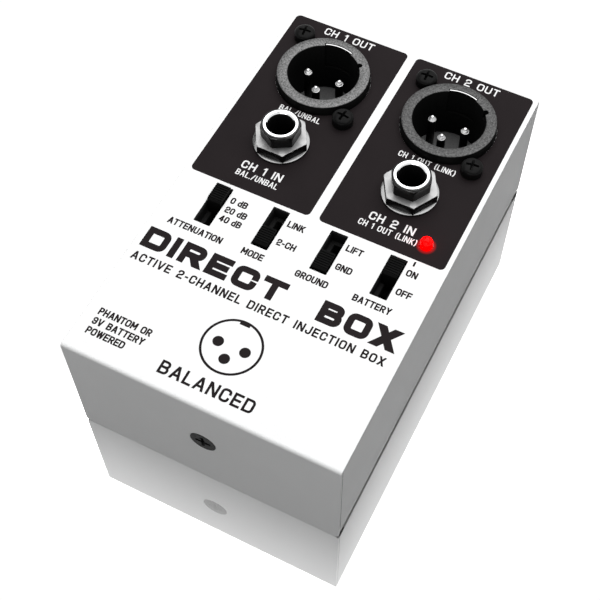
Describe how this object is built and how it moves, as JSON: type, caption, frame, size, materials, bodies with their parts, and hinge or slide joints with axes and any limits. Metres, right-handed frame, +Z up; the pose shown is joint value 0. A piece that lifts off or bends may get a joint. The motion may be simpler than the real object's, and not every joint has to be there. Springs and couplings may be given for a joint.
{
  "type": "direct injection box",
  "caption": "Direct injection box in a folded steel case, with XLR-type outputs, jack inputs, slide switches, a signal lamp and an internal battery.",
  "frame": {"origin": "centre of the case's base, on the surface that it rests on", "axes": "+Y towards the connector end, +Z up, +X to the right for someone who reads the captions"},
  "size_m": [0.072, 0.1186, 0.0458],
  "materials": {
    "painted_steel": "satin white powder coat with a fine grain",
    "grey_metal": "grey cast metal ring face",
    "black_metal": "blackened metal",
    "bare_steel": "plain plated steel",
    "black_plastic": "moulded black plastic",
    "chrome": "bright plated metal",
    "contact_metal": "sprung contact strip",
    "red_lens": "lit red lamp",
    "board_green": "solder-masked board",
    "blue_sleeve": "capacitor sleeve",
    "resistor_tan": "resistor lacquer",
    "battery_jacket": "printed metal jacket",
    "red_wire": "wire sleeve",
    "black_wire": "wire sleeve"
  },
  "bodies": {
    "box": {"cover": "painted_steel", "chassis": "painted_steel", "case_screw_front": "black_metal", "case_screw_back": "black_metal", "clinch_nut_front": "bare_steel", "clinch_nut_back": "bare_steel", "battery_clip": "bare_steel", "output_shell_1": "grey_metal", "output_insert_1": "black_plastic", "jack_body_1": "black_plastic", "latch_strike_1": "chrome", "output_pin_1_1": "chrome", "output_pin_1_2": "chrome", "output_pin_1_3": "chrome", "jack_washer_1": "chrome", "jack_nut_1": "chrome", "jack_bushing_1": "black_metal", "output_screw_1_left": "black_metal", "output_screw_1_right": "black_metal", "jack_tip_contact_1": "contact_metal", "jack_ring_contact_1": "contact_metal", "amplifier_chip_1": "black_plastic", "output_shell_2": "grey_metal", "output_insert_2": "black_plastic", "jack_body_2": "black_plastic", "latch_strike_2": "chrome", "output_pin_2_1": "chrome", "output_pin_2_2": "chrome", "output_pin_2_3": "chrome", "jack_washer_2": "chrome", "jack_nut_2": "chrome", "jack_bushing_2": "black_metal", "output_screw_2_left": "black_metal", "output_screw_2_right": "black_metal", "jack_tip_contact_2": "contact_metal", "jack_ring_contact_2": "contact_metal", "amplifier_chip_2": "black_plastic", "attenuation_switch_housing": "black_plastic", "mode_switch_housing": "black_plastic", "ground_switch_housing": "black_plastic", "battery_switch_housing": "black_plastic", "circuit_board": "board_green", "capacitor_1": "blue_sleeve", "capacitor_2": "blue_sleeve", "capacitor_3": "blue_sleeve", "capacitor_4": "blue_sleeve", "resistor_1": "resistor_tan", "resistor_2": "resistor_tan", "resistor_3": "resistor_tan", "resistor_4": "resistor_tan", "lamp": "red_lens", "lamp_spacer": "black_plastic", "battery_snap": "black_plastic", "battery": "battery_jacket", "battery_lead_red": "red_wire", "battery_lead_black": "black_wire"},
    "attenuation_knob": {"attenuation_slider": "black_plastic"},
    "mode_knob": {"mode_slider": "black_plastic"},
    "ground_knob": {"ground_slider": "black_plastic"},
    "battery_knob": {"battery_slider": "black_plastic"}
  },
  "joints": [
    {"name": "attenuation_slide", "type": "slide", "parent": "box", "child": "attenuation_knob", "axis": [0, -1, 0], "range_m": [0, 0.0058]},
    {"name": "mode_slide", "type": "slide", "parent": "box", "child": "mode_knob", "axis": [0, 1, 0], "range_m": [0, 0.0058]},
    {"name": "ground_slide", "type": "slide", "parent": "box", "child": "ground_knob", "axis": [0, 1, 0], "range_m": [0, 0.0058]},
    {"name": "battery_slide", "type": "slide", "parent": "box", "child": "battery_knob", "axis": [0, -1, 0], "range_m": [0, 0.0058]}
  ]
}
